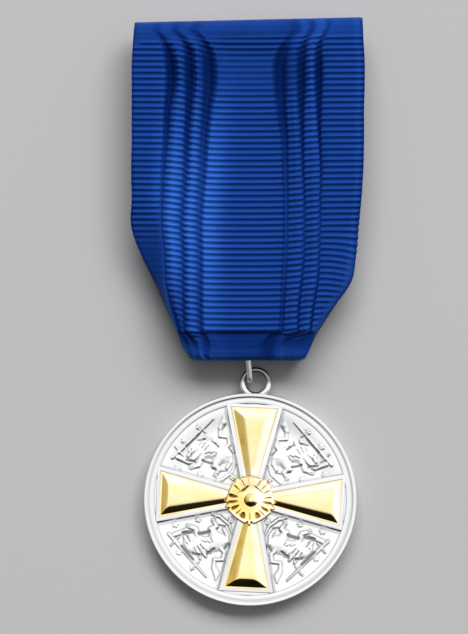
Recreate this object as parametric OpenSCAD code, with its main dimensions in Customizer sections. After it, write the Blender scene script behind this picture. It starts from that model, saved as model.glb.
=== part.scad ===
// Honour badge: a silver medal with a gilt cross and rose, linked to a pleated ribbon.
// It lies on its back. X runs across, Y runs up the ribbon and Z rises from the surface.
// Lengths are in millimetres, and the origin is under the middle of the whole badge.

/* [Medal] */
// Diameter of the medal
medal_d = 32; // [31:0.5:33]
// Thickness of the medal at its rim
medal_t = 2.2; // [2.1:0.1:2.5]
// Width of the raised rim
rim_w = 0.8; // [0.6:0.1:1]
// Width of the lower ring inside the rim
ring_w = 0.75; // [0.6:0.05:0.9]
// Depth of the field below the rim
field_drop = 0.7; // [0.6:0.05:0.8]
// Height of the figures above the field
relief_h = 0.35; // [0.25:0.05:0.45]
// Clockwise turn of the medal as it lies
medal_turn = 2.7; // [0:0.1:5]

/* [Cross and rose] */
// Reach of the silver cross frame from the centre
frame_reach = 14.2; // [13.9:0.1:14.3]
// Half width of a frame arm at its outer end
frame_half = 4.3; // [4.1:0.05:4.4]
// Width gained by half an arm for each millimetre of its length
arm_flare = 0.235; // [0.21:0.005:0.25]
// Width of the silver border round the gilt arms
border_w = 0.65; // [0.55:0.05:0.75]
// Depth of the pocket that the gilt cross lies in
pocket_d = 0.3; // [0.2:0.05:0.4]
// Height of the gilt arms above the pocket
gilt_h = 1; // [0.8:0.1:1.2]
// Width of the rounded shoulder of a gilt arm at its outer end
shoulder_w = 1.2; // [1:0.1:1.4]
// Radius of the rose
rose_r = 3.9; // [3.6:0.1:4.1]

/* [Eyelet and link] */
// Outer diameter of the eyelet
eyelet_d = 4.7; // [4.6:0.05:4.8]
// Wire diameter of the eyelet
eyelet_wire = 0.8; // [0.7:0.05:0.8]
// Height of the eyelet's middle above the surface
eyelet_z = 1.5; // [1.5:0.05:1.6]
// Wire diameter of the link
link_wire = 0.85; // [0.75:0.05:0.85]
// Inner width of the link
link_gap = 1.1; // [1.05:0.05:1.1]
// Diameter of the bar in the ribbon's lower fold
bar_d = 0.8; // [0.6:0.05:0.8]

/* [Ribbon] */
// Thickness of the ribbon's wall
cloth_t = 1; // [1:0.05:1.1]
// Height of the middle panel above the surface
front_z = 6.2; // [6.1:0.05:6.4]
// Height of the back of the ribbon above the surface
back_z = 2.7; // [2.65:0.05:2.7]
// Height that each panel loses to the next one outwards
panel_step = 0.15; // [0.1:0.05:0.2]
// Slant of the top fold from the right edge to the left
top_slant = 0.8; // [0:0.1:1]

/* [Brooch] */
// Length of the brooch plate
plate_l = 28; // [24:1:30]
// Width of the brooch plate
plate_w = 4; // [3:0.5:5]
// Diameter of the brooch pin
pin_d = 0.8; // [0.7:0.05:0.9]

/* [Hidden] */
$fn = 64;
// Gap between separate pieces, and the sinking of a raised form into the one that carries it
fit_gap = 0.05;
root_sink = 0.3;
// Levels and radii of the medal's face
medal_r = medal_d / 2;
ring_z = medal_t - 0.2;
frame_z = medal_t - 0.1;
field_z = medal_t - field_drop;
field_r = medal_r - rim_w - ring_w;
pocket_z = frame_z - pocket_d;
gilt_reach = frame_reach - border_w;
gilt_half = frame_half - border_w;
// The eyelet overlaps the rim, and the medal lies where its eyelet is
eyelet_ring_r = (eyelet_d - eyelet_wire) / 2;
eyelet_reach = medal_r + eyelet_ring_r - 0.35;
eyelet_at = [1.18, -10.62];
medal_at = eyelet_at - eyelet_reach * [sin(medal_turn), cos(medal_turn)];
// Ribbon: its width, top, middle and lowest back, and where the top slants and the corners round off
ribbon_w = 34.8;
top_y = 44.2;
middle_y = 10;
lip_z = 1.15;
fold_from = 41;
corner_from = -5;
corner_x = 6;
corner_lift = 0.035;

// Tapered strokes of one heraldic beast with a sword, seen with the rim upwards.
// Columns: start across, start out, start radius, end across, end out, end radius.
beast = [
    [ 1.4,  7.9, 1.10,  1.0,  8.8, 1.00], // haunch
    [ 1.0,  8.8, 0.95,  0.3,  9.9, 1.00], // belly
    [ 0.3,  9.9, 1.10, -0.2, 10.7, 1.00], // chest and mane
    [-0.7, 11.3, 0.75, -1.4, 11.2, 0.62], // head
    [-1.4, 11.2, 0.45, -2.3, 11.0, 0.30], // muzzle
    [-1.3, 10.8, 0.34, -2.1, 10.5, 0.20], // jaw
    [ 0.6, 11.1, 0.36,  1.5, 11.5, 0.16], // upper mane lock
    [ 0.9, 10.5, 0.36,  1.8, 10.7, 0.16], // middle mane lock
    [ 0.9,  9.8, 0.36,  1.8,  9.8, 0.16], // lower mane lock
    [ 0.9,  7.9, 0.85, -0.5,  7.5, 0.50], // near thigh
    [-0.5,  7.5, 0.42, -0.4,  6.6, 0.32], // near shank
    [-0.4,  6.6, 0.32, -1.4,  6.4, 0.28], // near hind paw
    [ 1.7,  7.8, 0.65,  2.1,  7.1, 0.42], // far thigh
    [ 2.1,  7.1, 0.36,  1.5,  6.3, 0.30], // far shank
    [ 1.5,  6.3, 0.30,  0.6,  6.1, 0.26], // far hind paw
    [-0.6,  9.7, 0.48, -2.2,  9.1, 0.36], // lower foreleg
    [-2.2,  9.1, 0.34, -3.2,  9.6, 0.30], // lower forepaw
    [-0.8, 10.3, 0.46, -2.9, 10.3, 0.38], // raised foreleg
    [-2.9, 10.3, 0.36, -3.6, 11.9, 0.34], // raised forearm
    [-4.2, 12.4, 0.24, -3.1, 12.4, 0.22], // grip
    [-3.0, 11.8, 0.17, -3.0, 13.0, 0.16], // guard
    [-3.0, 12.4, 0.28,  3.9, 12.6, 0.14], // blade
    [ 2.1,  8.3, 0.32,  3.1,  8.3, 0.28], // tail root
    [ 3.1,  8.3, 0.28,  3.7,  9.2, 0.26], // tail, first bend
    [ 3.7,  9.2, 0.26,  2.9, 10.1, 0.25], // tail, second bend
    [ 2.9, 10.1, 0.25,  3.7, 10.9, 0.28], // tail, third bend
    [ 3.7, 10.9, 0.34,  4.6, 11.2, 0.44], // tail tuft
    [ 4.6, 11.2, 0.42,  5.2, 11.9, 0.12], // tuft tip
    [-2.1,  5.9, 0.20, -1.1,  5.3, 0.26], // sabre hilt
    [-1.1,  5.3, 0.26,  0.6,  5.1, 0.25], // sabre blade
    [ 0.6,  5.1, 0.25,  1.9,  5.7, 0.11], // sabre point
    [-1.9,  5.4, 0.14, -1.4,  6.0, 0.13], // sabre guard
];
// Small roses in each quarter. Columns: across, out, radius.
small_roses = [
    [-3.3,  8.0, 0.42], [-4.9, 10.9, 0.45], [3.9, 7.9, 0.40], [5.1, 9.6, 0.42],
    [ 1.2, 13.4, 0.42], [-1.2, 13.4, 0.42], [0.1, 6.9, 0.30],
];

// Front of the ribbon, a row for each level from the bottom lip to the top fold.
// Columns: y, left edge, left valleys 3 2 1, right valleys 1 2 3, right edge,
// half width of the first valley on the left and on the right, depth of the valleys,
// drop of the side edges, drop of the middle panel.
front_rows = [
    [-6.7,  -9.2,  -8.7,  -7.9, -6.3, 3.8, 6.4,  8.0,  8.9, 0.30, 0.40, 0.25, 0.3, 1.3],
    [-4.9,  -9.9,  -9.3,  -8.5, -6.7, 4.4, 7.0,  8.6,  9.6, 0.40, 0.60, 0.35, 0.6, 0.8],
    [-2.9, -10.7, -10.2,  -9.4, -7.1, 5.1, 7.4,  9.2, 10.6, 0.45, 0.40, 0.50, 1.0, 0],
    [ 1.0, -12.5, -11.5,  -9.6, -7.2, 5.3, 7.6,  9.8, 13.1, 0.50, 0.40, 0.50, 1.1, 0],
    [ 4.5, -14.0, -12.3,  -9.7, -7.2, 5.5, 8.0, 10.4, 15.5, 0.50, 0.40, 0.40, 1.3, 0],
    [ 8.5, -16.0, -12.5,  -9.7, -7.2, 5.7, 8.3, 10.6, 16.2, 0.50, 0.40, 0.30, 1.3, 0],
    [13.0, -17.4, -13.0, -10.0, -7.3, 5.8, 8.4, 10.7, 16.6, 0.50, 0.40, 0.25, 1.0, 0],
    [17.0, -17.4, -12.9,  -9.7, -7.1, 5.8, 8.4, 10.8, 17.0, 0.55, 0.45, 0.35, 0.3, 0],
    [21.5, -17.4, -12.7,  -9.4, -6.8, 5.7, 8.2, 10.9, 17.3, 0.65, 0.50, 0.50, 0.1, 0],
    [26.0, -17.4, -12.3,  -9.2, -6.6, 5.6, 8.1, 10.7, 17.4, 0.80, 0.65, 0.70, 0.1, 0],
    [30.5, -17.4, -12.0,  -8.9, -6.2, 5.3, 8.2, 10.6, 17.4, 1.00, 0.80, 0.90, 0.1, 0],
    [34.5, -17.4, -11.5,  -8.4, -5.8, 5.0, 8.1, 10.6, 17.4, 1.25, 1.00, 1.00, 0.1, 0],
    [37.2, -17.4, -11.6,  -8.5, -5.6, 4.9, 8.0, 10.5, 17.4, 1.20, 0.95, 1.00, 0.1, 0],
    [39.3, -17.4, -12.1,  -9.0, -6.3, 5.3, 8.2, 10.6, 17.4, 0.95, 0.75, 0.75, 0.1, 0],
    [40.8, -17.4, -12.5,  -9.6, -6.9, 6.0, 8.5, 11.0, 17.4, 0.80, 0.65, 0.40, 0.1, 0],
    [42.6, -17.4, -13.4, -11.0, -8.4, 7.1, 9.5, 11.8, 17.4, 0.70, 0.55, 0.12, 0.1, 0.1],
];
// Half width of each valley, from left to right, as a share of the first valley's on its side.
valley_shares = [0.62, 0.58, 1, 1, 0.56, 0.53];
least_half = 0.32;
// The folds and the back of the ribbon, from the top fold down the back to the bottom lip.
// Columns: y, height of the back, rise towards the front as a share, left edge, right edge.
back_rows = [
    [43.6, back_z,       0.88, -17.4, 17.4],
    [44.1, back_z,       0.68, -17.4, 17.4],
    [44.2, back_z,       0.44, -17.4, 17.4],
    [43.9, back_z,       0.18, -17.4, 17.4],
    [43.1, back_z,       0,    -17.3, 17.3],
    [32.0, back_z,       0,    -17.2, 17.1],
    [14.0, back_z,       0,    -17.0, 16.4],
    [ 9.3, back_z - 0.2, 0,    -16.0, 16.0],
    [ 4.8, back_z - 0.5, 0,    -13.9, 15.3],
    [ 0.0, back_z - 1.0, 0,    -11.9, 12.1],
    [-3.0, lip_z + 0.2,  0,    -10.5, 10.4],
    [-5.0, lip_z,        0,     -9.8,  9.5],
    [-6.1, lip_z,        0.12,  -9.2,  9.0],
    [-6.8, lip_z,        0.38,  -8.9,  8.7],
    [-7.2, lip_z,        0.65,  -8.8,  8.6],
    [-7.2, lip_z,        0.87,  -8.8,  8.7],
];

// Place of the link: the bar end inside the ribbon, and the free end in the eyelet.
bar_at = [-0.15, -5.0, 2.7];
link_end = [0.25, -9.45, eyelet_z - 0.08];
link_run = link_end - bar_at;
link_l = norm(link_run);
link_yaw = atan2(link_run.y, link_run.x);
link_pitch = -asin(link_run.z / link_l);

module at_medal() {
    translate(medal_at) rotate(-medal_turn) children();
}

// A wire ring lying flat.
module wire_ring(ring_r, wire_d) {
    rotate_extrude() translate([ring_r, 0]) circle(d = wire_d, $fn = 32);
}

// Outline of one tapered stroke: two arcs joined by their tangents.
function stroke_outline(s, arc_steps = 4) =
    let (start = [s[0], s[1]], start_r = s[2], finish = [s[3], s[4]], finish_r = s[5],
         run = finish - start,
         heading = atan2(run.y, run.x),
         lean = acos((start_r - finish_r) / norm(run)))
    concat(
        [for (k = [0 : arc_steps]) let (a = heading - lean + 2 * lean * k / arc_steps)
            finish + finish_r * [cos(a), sin(a)]],
        [for (k = [0 : arc_steps]) let (a = heading + lean + (360 - 2 * lean) * k / arc_steps)
            start + start_r * [cos(a), sin(a)]]);

// The figures of one quarter: a beast with a sword, and small roses.
module quarter_relief() {
    heart_share = 0.4;
    petal_h = relief_h * 0.6;
    translate([0, 0, field_z - root_sink]) {
        linear_extrude(root_sink + relief_h) for (s = beast) polygon(stroke_outline(s));
        for (r = small_roses) translate([r[0], r[1], 0]) {
            cylinder(r = r[2], h = root_sink + petal_h);
            cylinder(r = r[2] * heart_share, h = root_sink + relief_h);
        }
    }
}

// Outline of one arm of a flared cross, pointing along +Y.
module arm_outline(reach, half) {
    root = half - reach * arm_flare;
    polygon([[-root, 0], [root, 0], [half, reach], [-half, reach]]);
}

// The struck disc: a rounded edge, a raised rim, a lower ring and the field.
module medal_blank() {
    edge = 0.25;
    rotate_extrude($fn = 128) polygon([
        [0, 0],
        [medal_r - edge, 0],
        [medal_r, edge],
        [medal_r, medal_t - edge],
        [medal_r - edge, medal_t],
        [medal_r - rim_w, medal_t],
        [medal_r - rim_w - 0.1, ring_z - 0.15],
        [medal_r - rim_w - 0.25, ring_z],
        [field_r, ring_z],
        [field_r - 0.1, field_z],
        [0, field_z],
    ]);
}

module medal() {
    color("silver") at_medal() {
        difference() {
            union() {
                medal_blank();
                for (a = [0 : 90 : 270]) rotate(a) {
                    translate([0, 0, field_z - root_sink])
                        linear_extrude(root_sink + frame_z - field_z) arm_outline(frame_reach, frame_half);
                    rotate(45) mirror([a % 180 == 0 ? 0 : 1, 0, 0]) quarter_relief();
                }
            }
            for (a = [0 : 90 : 270]) rotate(a)
                translate([0, 0, pocket_z]) linear_extrude(medal_t) arm_outline(gilt_reach, gilt_half);
        }
        translate([0, eyelet_reach, eyelet_z]) wire_ring(eyelet_ring_r, eyelet_wire);
    }
}

// Four corners of a gilt arm, drawn in by an inset that follows the arm's width.
function arm_corners(inset, z) =
    let (half = gilt_half - fit_gap,
         reach = gilt_reach - fit_gap,
         root_y = 2.6,
         root_half = half - (reach - root_y) * arm_flare,
         root_inset = inset * root_half / half)
    [[-root_half + root_inset, root_y, z], [root_half - root_inset, root_y, z],
     [half - inset, reach - inset, z], [-half + inset, reach - inset, z]];

// A gilt arm: steep at its edge and nearly flat on top.
module gilt_arm() {
    // Columns: inset as a share of the shoulder, height as a share of the arm.
    shoulder = [[0, 0], [0, 0.3], [0.2, 0.62], [0.5, 0.86], [1, 1]];
    rings = len(shoulder);
    points = [for (s = shoulder) each arm_corners(s[0] * shoulder_w, pocket_z + s[1] * gilt_h)];
    polyhedron(points, concat(
        [[0, 1, 2, 3]],
        [for (i = [0 : rings - 2], k = [0 : 3]) let (a = 4 * i + k, b = 4 * i + (k + 1) % 4)
            [a, a + 4, b + 4, b]],
        [[for (k = [3 : -1 : 0]) 4 * (rings - 1) + k]]));
}

// Four arms and the hub that joins them under the rose.
module gilt_cross() {
    hub_r = 3;
    color("gold") at_medal() {
        for (a = [0 : 90 : 270]) rotate(a) gilt_arm();
        translate([0, 0, pocket_z]) intersection() {
            cylinder(r = hub_r, h = gilt_h);
            for (a = [0 : 90 : 270]) rotate(a)
                linear_extrude(gilt_h) arm_outline(gilt_reach, gilt_half - fit_gap);
        }
    }
}

// A low dome, as the cap of a ball.
module dome(base_r, rise) {
    ball_r = (base_r * base_r + rise * rise) / (2 * rise);
    intersection() {
        translate([0, 0, rise - ball_r]) sphere(ball_r, $fn = 96);
        cylinder(r = base_r + 1, h = rise + 1);
    }
}

// Five outer and five inner petals, barbs between them, and a round boss.
module rose() {
    petals = 5;
    petal_r = rose_r * 0.45;
    petal_t = 0.2;
    inner_petal_r = rose_r * 0.29;
    inner_out = rose_r * 0.36;
    inner_z = 0.3;
    disc_t = 0.35;
    barb_w = 0.6;
    barb_t = 0.45;
    boss_r = 0.65;
    boss_z = 0.8;
    collar_r = boss_r + 0.3;
    color("goldenrod") at_medal() translate([0, 0, pocket_z + gilt_h + fit_gap]) {
        cylinder(r = rose_r * 0.7, h = disc_t);
        for (k = [0 : petals - 1]) rotate(360 / petals * k) {
            translate([0, rose_r - petal_r, 0]) {
                cylinder(r = petal_r, h = petal_t);
                translate([0, 0, petal_t]) dome(petal_r, 0.45);
            }
            translate([0, inner_out, inner_z]) dome(inner_petal_r, 0.6);
            rotate(180 / petals) translate([-barb_w / 2, 0, 0]) cube([barb_w, rose_r * 0.86, barb_t]);
        }
        cylinder(r = collar_r, h = boss_z);
        translate([0, 0, boss_z]) sphere(boss_r);
    }
}

// Half a ring of wire that opens towards +X when turned is 90, and towards -X when it is -90.
module link_bend(bend_r, turned) {
    rotate(turned) rotate_extrude(angle = 180) translate([bend_r, 0]) circle(d = link_wire, $fn = 32);
}

// A long link standing on edge: a bend round the bar, two straights and a bend through the eyelet.
module suspension_link() {
    bend_r = (link_gap + link_wire) / 2;
    color("lightgray") translate(bar_at) rotate([0, link_pitch, link_yaw]) rotate([90, 0, 0]) {
        link_bend(bend_r, 90);
        translate([link_l, 0, 0]) link_bend(bend_r, -90);
        for (side = [-1, 1]) translate([0, side * bend_r, 0]) rotate([0, 90, 0])
            cylinder(d = link_wire, h = link_l, $fn = 32);
    }
}

module hanger_bar() {
    bar_l = 16;
    color("lightgray") translate([-bar_l / 2, bar_at.y, bar_at.z]) rotate([0, 90, 0])
        cylinder(d = bar_d, h = bar_l);
}

// A plate behind the ribbon, two posts that stand on the surface, and the pin between them.
module brooch() {
    plate_t = 0.6;
    plate_z = back_z - 2 * fit_gap - plate_t;
    plate_y = 36;
    post_w = 1.6;
    post_x = plate_l / 2 - 2;
    pin_z = 0.1 + pin_d / 2;
    color("gray") translate([0, plate_y, 0]) {
        translate([-plate_l / 2, -plate_w / 2, plate_z]) cube([plate_l, plate_w, plate_t]);
        for (side = [-1, 1]) translate([side * post_x - post_w / 2, -post_w / 2, 0])
            cube([post_w, post_w, plate_z + plate_t]);
        translate([-post_x, 0, pin_z]) rotate([0, 90, 0]) cylinder(d = pin_d, h = 2 * post_x);
    }
}

// Half widths of the six valleys, from left to right.
function valley_halves(r) =
    [for (v = [0 : 5]) max(least_half, valley_shares[v] * (v < 3 ? r[9] : r[10]))];

// Columns of the front: side edge, outer panel, three points for each valley, middle panel.
function front_xs(r) =
    let (left_edge = r[1], valleys = [for (v = [2 : 7]) r[v]], right_edge = r[8],
         halves = valley_halves(r))
    concat(
        [left_edge, (left_edge + valleys[0] - halves[0]) / 2],
        [for (v = [0 : 2], side = [-1 : 1]) valleys[v] + side * halves[v]],
        [(valleys[2] + valleys[3]) / 2],
        [for (v = [3 : 5], side = [-1 : 1]) valleys[v] + side * halves[v]],
        [(right_edge + valleys[5] + halves[5]) / 2, right_edge]);

// Heights of the same columns.
function front_zs(r) =
    let (valley_depth = r[11], edge_drop = r[12], middle_drop = r[13])
    [for (i = [0 : columns - 1])
        front_z - middle_drop - steps_down[i] * panel_step
            - in_valley[i] * valley_depth - at_edge[i] * edge_drop];

// For each column: panels below the middle one, in a valley or not, and share of the edge's drop.
steps_down = [3, 3, 3, 2.5, 2, 2, 1.5, 1, 1, 0.5, 0, 0, 0, 0.5, 1, 1, 1.5, 2, 2, 2.5, 3, 3, 3];
in_valley = [0, 0, 0, 1, 0, 0, 1, 0, 0, 1, 0, 0, 0, 1, 0, 0, 1, 0, 0, 1, 0, 0, 0];
at_edge = [1, 0.35, 0, 0, 0, 0, 0, 0, 0, 0, 0, 0, 0, 0, 0, 0, 0, 0, 0, 0, 0, 0.35, 1];
columns = len(steps_down);

// The top fold slants from right to left, and the lower corners are rounded off.
function shifted_y(x, y) =
    y > fold_from ? y - top_slant * (y - fold_from) / (top_y - fold_from) * (0.5 - x / ribbon_w)
    : y < corner_from ? y + corner_lift * (corner_from - y) * pow(max(0, abs(x) - corner_x), 2)
    : y;

function front_ring(r) = let (xs = front_xs(r), zs = front_zs(r))
    [for (i = [0 : columns - 1]) [xs[i], shifted_y(xs[i], r[0]), zs[i]]];

function back_ring(r) =
    let (y = r[0], base_z = r[1], rise = r[2], left = r[3], right = r[4],
         front = y > middle_y ? front_rows[len(front_rows) - 1] : front_rows[0],
         xs = front_xs(front),
         zs = front_zs(front))
    [for (i = [0 : columns - 1])
        let (share = rise * (xs[i] - xs[0]) / (xs[columns - 1] - xs[0]) + (1 - rise) * i / (columns - 1),
             x = left + (right - left) * share)
        [x, shifted_y(x, y), base_z + rise * (zs[i] - base_z)]];

outer_skin = concat([for (r = front_rows) front_ring(r)], [for (r = back_rows) back_ring(r)]);
rings = len(outer_skin);

// Inner skin: each point moved in by the wall, square to the loop that its column makes.
inner_skin = [for (j = [0 : rings - 1])
    let (before = outer_skin[(j + rings - 1) % rings], after = outer_skin[(j + 1) % rings])
    [for (i = [0 : columns - 1])
        let (run = after[i] - before[i])
        outer_skin[j][i] + cloth_t * [0, run.z, -run.y] / norm([run.y, run.z])]];

// The closed band: both skins, joined along the two side edges.
module band() {
    inside = rings * columns;
    last = columns - 1;
    faces = [for (j = [0 : rings - 1])
        let (a = j * columns, b = (j + 1) % rings * columns)
        each concat(
            [for (i = [0 : last - 1]) each [
                [a + i, b + i, b + i + 1],
                [a + i, b + i + 1, a + i + 1],
                [inside + a + i, inside + b + i + 1, inside + b + i],
                [inside + a + i, inside + a + i + 1, inside + b + i + 1]]],
            [[a, inside + a, inside + b], [a, inside + b, b]],
            [[a + last, inside + b + last, inside + a + last], [a + last, b + last, inside + b + last]])];
    polyhedron([for (skin = [outer_skin, inner_skin], ring = skin) each ring], faces);
}

// The band, with a slot in its lower fold where the link comes out.
module ribbon() {
    slot_w = 1.4;
    slot_l = 5;
    slot_back = 1.6;
    slot_top = 3.95;
    color("royalblue") difference() {
        band();
        translate([bar_at.x, bar_at.y, 0]) rotate(link_yaw)
            translate([-slot_back, -slot_w / 2, 0]) cube([slot_l, slot_w, slot_top]);
    }
}

ribbon();
brooch();
hanger_bar();
suspension_link();
medal();
gilt_cross();
rose();
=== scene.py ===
"""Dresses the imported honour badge: ribbed cloth, struck silver, gilding, studio light and camera."""
import math

import bmesh
import bpy
import numpy as np
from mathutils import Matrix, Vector


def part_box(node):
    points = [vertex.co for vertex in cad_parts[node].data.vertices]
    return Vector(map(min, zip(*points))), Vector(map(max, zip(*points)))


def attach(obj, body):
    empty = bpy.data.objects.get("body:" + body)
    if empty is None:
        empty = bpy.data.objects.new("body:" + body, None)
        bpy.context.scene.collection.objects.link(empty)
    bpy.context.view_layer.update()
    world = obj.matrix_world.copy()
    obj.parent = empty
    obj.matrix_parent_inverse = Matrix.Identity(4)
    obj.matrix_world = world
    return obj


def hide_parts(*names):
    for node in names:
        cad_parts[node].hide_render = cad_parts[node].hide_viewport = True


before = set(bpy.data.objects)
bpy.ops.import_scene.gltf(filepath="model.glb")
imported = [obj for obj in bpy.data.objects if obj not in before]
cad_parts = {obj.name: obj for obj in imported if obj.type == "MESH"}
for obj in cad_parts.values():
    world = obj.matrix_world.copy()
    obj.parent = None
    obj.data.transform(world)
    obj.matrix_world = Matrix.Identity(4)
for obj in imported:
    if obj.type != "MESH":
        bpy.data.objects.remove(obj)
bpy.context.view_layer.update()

MM = 0.001


def box_mm(node):
    """Lowest and highest corner of a node, in millimetres."""
    low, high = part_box(node)
    return np.array(low) / MM, np.array(high) / MM


# Places and sizes, in millimetres, worked out from the frame.
RIBBON_LOW, RIBBON_HIGH = box_mm("ribbon")
MEDAL_LOW, MEDAL_HIGH = box_mm("medal")
ROSE_SEAT = box_mm("rose")[0][2]
GILT_TOP = box_mm("gilt_cross")[1][2]
MEDAL_T = MEDAL_HIGH[2]
MEDAL_R = (MEDAL_HIGH[0] - MEDAL_LOW[0]) / 2
MEDAL_AT = np.array([(MEDAL_HIGH[0] + MEDAL_LOW[0]) / 2, MEDAL_LOW[1] + MEDAL_R])
FRONT_Z = RIBBON_HIGH[2]
LIP_Z = RIBBON_LOW[2]

# The photo: its size in pixels, its scale, the pixel where the badge's origin lies,
# and the small clockwise turn of the medal.
PHOTO_W, PHOTO_H = 468, 634
MM_PER_PIXEL = 0.15
ORIGIN_PIXEL = (247.9, 312.0)
MEDAL_TURN = math.radians(2.7)


# Small mesh tools. Points are in millimetres until an object is made.

def grid_faces(rows, columns, start=0, rows_close=False, columns_close=False):
    """Quads of a grid of points, given row by row. Its rows or its columns may close on themselves."""
    row = np.arange(rows if rows_close else rows - 1)[:, None]
    column = np.arange(columns if columns_close else columns - 1)[None, :]
    here, below = row * columns, (row + 1) % rows * columns
    beside = (column + 1) % columns
    corners = [here + column, below + column, below + beside, here + beside]
    return np.stack(corners, axis=-1).reshape(-1, 4) + start


def capped_rings(rings, around):
    """Faces of a tube of rings, with a flat cap at each end."""
    last = (rings - 1) * around
    caps = [list(range(around)), list(range(last, last + around))]
    return [grid_faces(rings, around, columns_close=True), caps]


def make_piece(name, parts, materials, sharp_angle=60):
    """One mesh object from parts, each with points, lists of faces, a material's number and marks.

    The marks, from 0 to 1, are painted light and shade; they belong to the part's first points and are kept
    as "recess".
    """
    points, faces, numbers, painted_light, count = [], [], [], [], 0
    for part_points, part_faces, number, *marks in parts:
        points.append(np.asarray(part_points, dtype=float))
        painted_light.append(np.zeros(len(part_points)))
        if marks:
            painted_light[-1][:len(marks[0])] = marks[0]
        for group in part_faces:
            faces.extend((np.asarray(face) + count).tolist() for face in group)
            numbers.extend([number] * len(group))
        count += len(part_points)
    mesh = bpy.data.meshes.new(name)
    mesh.from_pydata(np.concatenate(points) * MM, [], faces)
    for material in materials:
        mesh.materials.append(material)
    mesh.polygons.foreach_set("material_index", numbers)
    mark_points(mesh, "painted_light", np.concatenate(painted_light))
    work = bmesh.new()
    work.from_mesh(mesh)
    bmesh.ops.recalc_face_normals(work, faces=work.faces)
    work.to_mesh(mesh)
    work.free()
    mesh.shade_smooth()
    mesh.set_sharp_from_angle(angle=math.radians(sharp_angle))
    piece = bpy.data.objects.new(name, mesh)
    bpy.context.scene.collection.objects.link(piece)
    return piece


def mark_points(mesh, name, values):
    """Keeps a number or a vector for each point of a mesh, for its material to read."""
    values = np.asarray(values, dtype=np.float32)
    vectors = values.ndim == 2
    attribute = mesh.attributes.new(name, "FLOAT_VECTOR" if vectors else "FLOAT", "POINT")
    attribute.data.foreach_set("vector" if vectors else "value", values.ravel())


def turns(count):
    """Angles of points spread evenly round a circle."""
    return np.linspace(0, 2 * math.pi, count, endpoint=False)


def point_list(x, y, z):
    """Points of a grid, row by row, from their coordinates."""
    return np.stack(np.broadcast_arrays(x, y, z), axis=-1).reshape(-1, 3)


def lathe(profile, around=256):
    """A closed solid turned from a profile of radius and height, capped flat at both ends."""
    r, z = np.array(profile).T[:, :, None]
    points = point_list(r * np.cos(turns(around)), r * np.sin(turns(around)), z)
    return points, capped_rings(len(profile), around)


def closed_tile(x, y, z, base_z):
    """A grid of points, closed by upright sides and a flat base."""
    rows, columns = z.shape
    top = point_list(x, y, z)
    border = np.concatenate([
        np.arange(columns),
        np.arange(1, rows) * columns + columns - 1,
        (rows - 1) * columns + np.arange(columns - 2, -1, -1),
        np.arange(rows - 2, 0, -1) * columns,
    ])
    base = top[border].copy()
    base[:, 2] = base_z
    low = len(top) + np.arange(len(border))
    sides = np.stack([border, np.roll(border, -1), np.roll(low, -1), low], axis=-1)
    return np.concatenate([top, base]), [grid_faces(rows, columns), sides, [low.tolist()]]


def turned(points, angle, shift):
    """Turns points about the upright axis, and then shifts them across and along."""
    moved = np.array(points, dtype=float)
    c, s = math.cos(angle), math.sin(angle)
    moved[:, :2] = moved[:, :2] @ np.array([[c, s], [-s, c]]) + shift
    return moved


def spun(points, degrees, rise=0.0):
    """Turns points about the medal's own middle, and then moves them up its face."""
    return turned(points, math.radians(degrees), (0, rise))


def make_on_medal(name, parts, materials, sharp_angle=50):
    """One object from parts of the upright medal, turned to the way that it lies."""
    lying = [(turned(points, -MEDAL_TURN, MEDAL_AT), *rest) for points, *rest in parts]
    return make_piece(name, lying, materials, sharp_angle)


def smooth(start, end, value):
    """Goes from 0 at the start to 1 at the end, which may be the lower one, with level ends."""
    t = np.clip((value - start) / (end - start), 0, 1)
    return t * t * (3 - 2 * t)


def bell(value, middle, width):
    """1 at the middle, falling to nearly 0 two widths away on both sides."""
    return np.exp(-((value - middle) / width) ** 2)


# Materials.

class Maker:
    """Builds the nodes of one material or world with few words."""

    def __init__(self, owner, shader="Principled BSDF"):
        owner.use_nodes = True
        self.owner = owner
        self.tree = owner.node_tree
        self.shader = self.tree.nodes[shader]

    def feed(self, sockets, values):
        """Links an output to each named socket, or sets a number or colour on it."""
        for key, value in values.items():
            if isinstance(value, bpy.types.NodeSocket):
                self.tree.links.new(value, sockets[key])
            else:
                sockets[key].default_value = value

    def set(self, **inputs):
        """Feeds the shader's own sockets; an underscore stands for a space in their names."""
        self.feed(self.shader.inputs, {key.replace("_", " "): value for key, value in inputs.items()})

    def node(self, kind, inputs=None, **settings):
        """Makes and feeds a node, and gives its outputs."""
        made = self.tree.nodes.new(kind)
        for key, value in settings.items():
            setattr(made, key, value)
        self.feed(made.inputs, inputs or {})
        return made.outputs

    def place(self, output="Object"):
        return self.node("ShaderNodeTexCoord")[output]

    def marked(self, name, output="Fac"):
        return self.node("ShaderNodeAttribute", attribute_name=name)[output]

    def noise(self, vector, scale, detail=2.0):
        return self.node("ShaderNodeTexNoise", {"Vector": vector, "Scale": scale, "Detail": detail})["Fac"]

    def scaled(self, vector, factors):
        return self.node("ShaderNodeVectorMath", {0: vector, 1: factors}, operation="MULTIPLY")["Vector"]

    def maths(self, operation, first, second):
        return self.node("ShaderNodeMath", {0: first, 1: second}, operation=operation)["Value"]

    def ranged(self, value, low, high, from_low=0.0, from_high=1.0, **settings):
        limits = {"From Min": from_low, "From Max": from_high, "To Min": low, "To Max": high}
        return self.node("ShaderNodeMapRange", {"Value": value, **limits}, **settings)["Result"]

    def stepped(self, value, from_low, from_high, low=0.0, high=1.0):
        return self.ranged(value, low, high, from_low, from_high, interpolation_type="SMOOTHSTEP")

    def mixed(self, factor, first, second):
        colours = {"Factor": factor, "A": first, "B": second}
        return self.node("ShaderNodeMix", colours, data_type="RGBA")["Result"]

    def bump(self, height, distance, strength):
        relief = {"Height": height, "Distance": distance, "Strength": strength}
        self.set(Normal=self.node("ShaderNodeBump", relief)["Normal"])


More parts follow.
